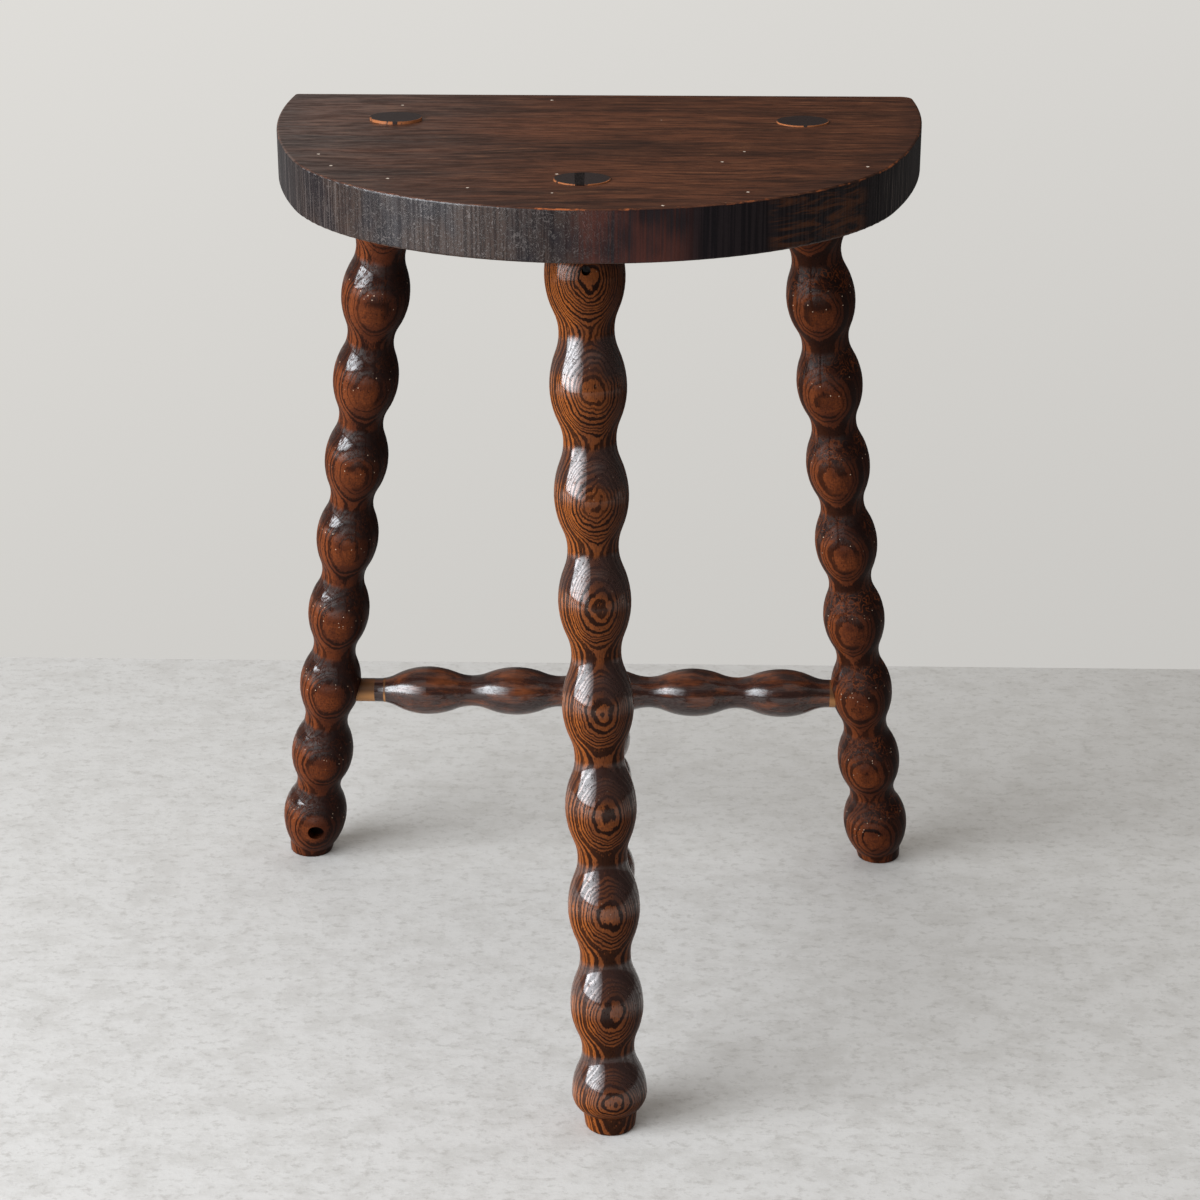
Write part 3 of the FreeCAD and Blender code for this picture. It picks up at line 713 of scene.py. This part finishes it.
def stretcher_finish(name, settings):
    """Dark stained wood with worn patches drawn out along the rail, and bare below at its ends."""
    line, seed, bare_ends = STRETCHERS[name]
    wood = Finish(name + "_wood")
    place = wood.place(*line)
    along = wood.split(place)[2]
    height = wood.split(wood.place())[2]
    grain = wood.noise(place, (0.20, 0.20, 0.03), (seed, 0.0, 0.0), 4.0, 0.6)
    fine = wood.noise(place, (1.8, 1.8, 0.10), (0.0, seed, 0.0), 3.0, 0.6)
    patch = wood.noise(place, (0.07, 0.07, 0.04), (0.0, 0.0, seed), 3.0, 0.6)
    worn = grain.swing(2.2) + patch.swing(1.8) + 0.34
    shade = wood.blend(worn.step(0.1, 1.1), settings.dark, settings.warm)
    shade = wood.blend(fine.step(0.5, 0.75) * 0.6, shade, settings.fibre)
    film = 0.85 - fine.step(0.48, 0.60) * 0.45
    below = (height - line[0][2]).step(3.0, -2.0)
    for low, high in bare_ends:
        bare = along.band(low, high, 0.4)
        shade = wood.blend(bare * (below * 0.75 + 0.2), shade, settings.bare)
        film = film * (1.0 - bare * 0.9)
    ripple = wood.noise(place, (0.25, 0.25, 0.10), (seed, 2.0, 1.0), 1.0)
    relief = ripple * 0.30 - fine * 0.10
    return wood.varnished(shade, roughness=0.26, relief=relief, depth=WOOD_RELIEF,
                          shine=settings.shine, coat=film, coat_roughness=0.16)


class STOOL_OT_stretchers(Operator):
    """Finishes the two turned stretchers"""

    bl_idname = "stool.stretchers"
    bl_label = "Finish the stretchers"

    def execute(self, context):
        for name in STRETCHERS:
            dress(name, stretcher_finish(name, context.scene.stool_stretchers))
        return {"FINISHED"}


class StageSettings(PropertyGroup):
    """The floor and the light."""

    floor: colour("Floor", "Pale stone floor", 201, 198, 195)
    far_floor: colour("Far floor", "The floor's colour at the back", 184, 181, 177)
    cloud: colour("Floor clouds", "Soft darker clouds in the stone", 176, 172, 167)
    speck: colour("Floor specks", "Small darker specks in the stone", 152, 147, 141)
    wall: colour("Backdrop", "Pale wall colour round the scene", 214, 212, 208)
    window_power: FloatProperty(name="Window power", description="Power of the soft light",
                                default=270.0, min=0.0, subtype="POWER", unit="POWER")
    ambient: share("Ambient", "Strength of the light from all round", 1.0)


def floor_surface(half_width, near, far, count):
    """A level floor: a grid over its width and its depth, at height 0 all over."""
    across, back = np.meshgrid(np.linspace(-half_width, half_width, count),
                               np.linspace(near, far, count))
    points = np.stack([across, back, np.zeros_like(across)], axis=-1).reshape(-1, 3)
    index = np.arange(count * count).reshape(count, count)
    corners = [index[:-1, :-1], index[:-1, 1:], index[1:, 1:], index[1:, :-1]]
    faces = np.stack(corners, axis=-1).reshape(-1, 4)
    mesh = bpy.data.meshes.new("floor")
    mesh.from_pydata(points.tolist(), [], faces.tolist())
    return bpy.data.objects.new("floor", mesh)


def floor_finish(settings):
    """Pale stone with soft clouds and small darker specks, a little darker at the back."""
    stone = Finish("floor_stone")
    place = stone.place()
    cloud = stone.noise(place, (0.035, 0.045, 0.02), (1.0, 0.0, 0.0), 6.0, 0.75)
    speck = stone.noise(place, (0.13, 0.17, 0.2), detail=5.0, rough=0.75)
    far = stone.split(place)[1].step(-250.0, 430.0)
    shade = stone.blend(far * 0.40, settings.floor, settings.far_floor)
    shade = stone.blend(cloud.step(0.42, 0.62) * 0.42, shade, settings.cloud)
    shade = stone.blend(speck.step(0.50, 0.66) * 0.40, shade, settings.speck)
    return stone.varnished(shade, roughness=0.8, relief=speck * 0.5, depth=0.4, shine=0.3)


def window_light(power):
    """A wide soft light on the left of the front, turned to the stool.

    It is brightest on its left and fades to its right, as a window with a drawn curtain.
    """
    light = bpy.data.lights.new("window", "AREA")
    light.shape = "RECTANGLE"
    light.size, light.size_y = WINDOW_SIZE
    light.energy = power
    light.color = WINDOW_COLOUR
    light.use_nodes = True
    glass = Nodes(light.node_tree)
    across = glass.split(glass.node("ShaderNodeNewGeometry").outputs["Parametric"])[0]
    strength = across.step(0.95, 0.40) * 0.85 + 0.15
    glow = glass.node("ShaderNodeEmission", None, {"Strength": strength})
    glass.node("ShaderNodeOutputLight", None, {"Surface": glow.outputs[0]})
    around = math.radians(WINDOW_AROUND)
    made = bpy.data.objects.new("window", light)
    made.location = (-WINDOW_DISTANCE * math.sin(around), -WINDOW_DISTANCE * math.cos(around),
                     WINDOW_HEIGHT)
    made.rotation_euler = (math.radians(WINDOW_TILT), 0.0, -around)
    return made


def surroundings(settings):
    """The room round the stool, by direction.

    Seen directly it is a pale wall, a little brighter on the left and above. As soft light it is
    bright above and on the right, and in the gloss it is dim, with a paler wall behind on the
    left.
    """
    world = bpy.data.worlds.new("surroundings")
    world.use_nodes = True
    room = Nodes(world.node_tree)
    x, y, z = room.split(room.node("ShaderNodeTexCoord").outputs["Generated"])
    ray = room.node("ShaderNodeLightPath").outputs
    seen = Number(room, ray["Is Camera Ray"])
    gloss = Number(room, ray["Is Glossy Ray"])
    wall = x * -0.18 + z * 0.60 + 1.135
    soft = y.step(-0.10, 0.75) * 0.36 + z.step(0.0, 0.9) * 0.80 + x.step(0.05, 0.9) * 0.30 + 0.05
    behind = y.step(-0.10, 0.75) * (x.step(0.04, -0.18) * 0.40 + 0.05)
    above = y.step(0.20, -0.30) * z.step(0.42, 0.62) * 0.50
    mirrored = behind + above + z.step(0.70, 0.95) * 0.20 + x.step(0.20, 0.90) * 0.10 + 0.02
    light = (soft * (1.0 - gloss) + mirrored * gloss) * settings.ambient
    strength = wall * seen + light * (1.0 - seen)
    glow = room.node("ShaderNodeBackground", None, {"Color": settings.wall, "Strength": strength})
    room.node("ShaderNodeOutputWorld", None, {"Surface": glow.outputs[0]})
    return world


def stage_camera():
    """The camera in front of the stool, a little above it."""
    lens = bpy.data.cameras.new("camera")
    lens.sensor_width = CAMERA_FILM_MM
    lens.lens = CAMERA_LENS_MM
    made = bpy.data.objects.new("camera", lens)
    made.location = CAMERA_PLACE
    made.rotation_euler = (math.radians(CAMERA_TILT), 0.0, math.radians(CAMERA_TURN))
    return made


class STOOL_OT_stage(Operator):
    """Sets the floor, the soft window light, the pale surroundings and the camera"""

    bl_idname = "stool.stage"
    bl_label = "Set the stage"

    def execute(self, context):
        scene = context.scene
        settings = scene.stool_stage
        floor = floor_surface(*FLOOR)
        floor.data.materials.append(floor_finish(settings))
        camera = stage_camera()
        for made in (floor, window_light(settings.window_power), camera):
            scene.collection.objects.link(made)
        scene.world = surroundings(settings)
        scene.camera = camera
        scene.view_settings.view_transform = "Standard"
        return {"FINISHED"}


class STOOL_PT_panel(Panel):
    """Lists the stool's steps and settings"""

    bl_idname = "STOOL_PT_panel"
    bl_label = "Stool"
    bl_space_type = "VIEW_3D"
    bl_region_type = "UI"
    bl_category = "Stool"

    def draw(self, context):
        for operator, settings in STEPS:
            self.layout.operator(operator.bl_idname)
            if settings:
                group = getattr(context.scene, settings)
                for name in group.__annotations__:
                    self.layout.prop(group, name)


# The operators in order, each with the settings that the panel shows under it
STEPS = (
    (STOOL_OT_legs, "stool_legs"),
    (STOOL_OT_seat, "stool_seat"),
    (STOOL_OT_wedges, None),
    (STOOL_OT_stretchers, "stool_stretchers"),
    (STOOL_OT_stage, "stool_stage"),
)
GROUPS = {
    "stool_legs": LegSettings,
    "stool_seat": SeatSettings,
    "stool_stretchers": StretcherSettings,
    "stool_stage": StageSettings,
}
CLASSES = (*GROUPS.values(), *(operator for operator, _ in STEPS), STOOL_PT_panel)


def register():
    """Registers the classes and gives the scene its settings."""
    for made in CLASSES:
        bpy.utils.register_class(made)
    for name, group in GROUPS.items():
        setattr(bpy.types.Scene, name, PointerProperty(type=group))


def unregister():
    """Takes back what register did."""
    for name in GROUPS:
        delattr(bpy.types.Scene, name)
    for made in reversed(CLASSES):
        bpy.utils.unregister_class(made)


def main():
    """Runs every step in order."""
    register()
    bpy.ops.stool.legs()
    bpy.ops.stool.seat()
    bpy.ops.stool.wedges()
    bpy.ops.stool.stretchers()
    bpy.ops.stool.stage()


if __name__ == "__main__":
    main()
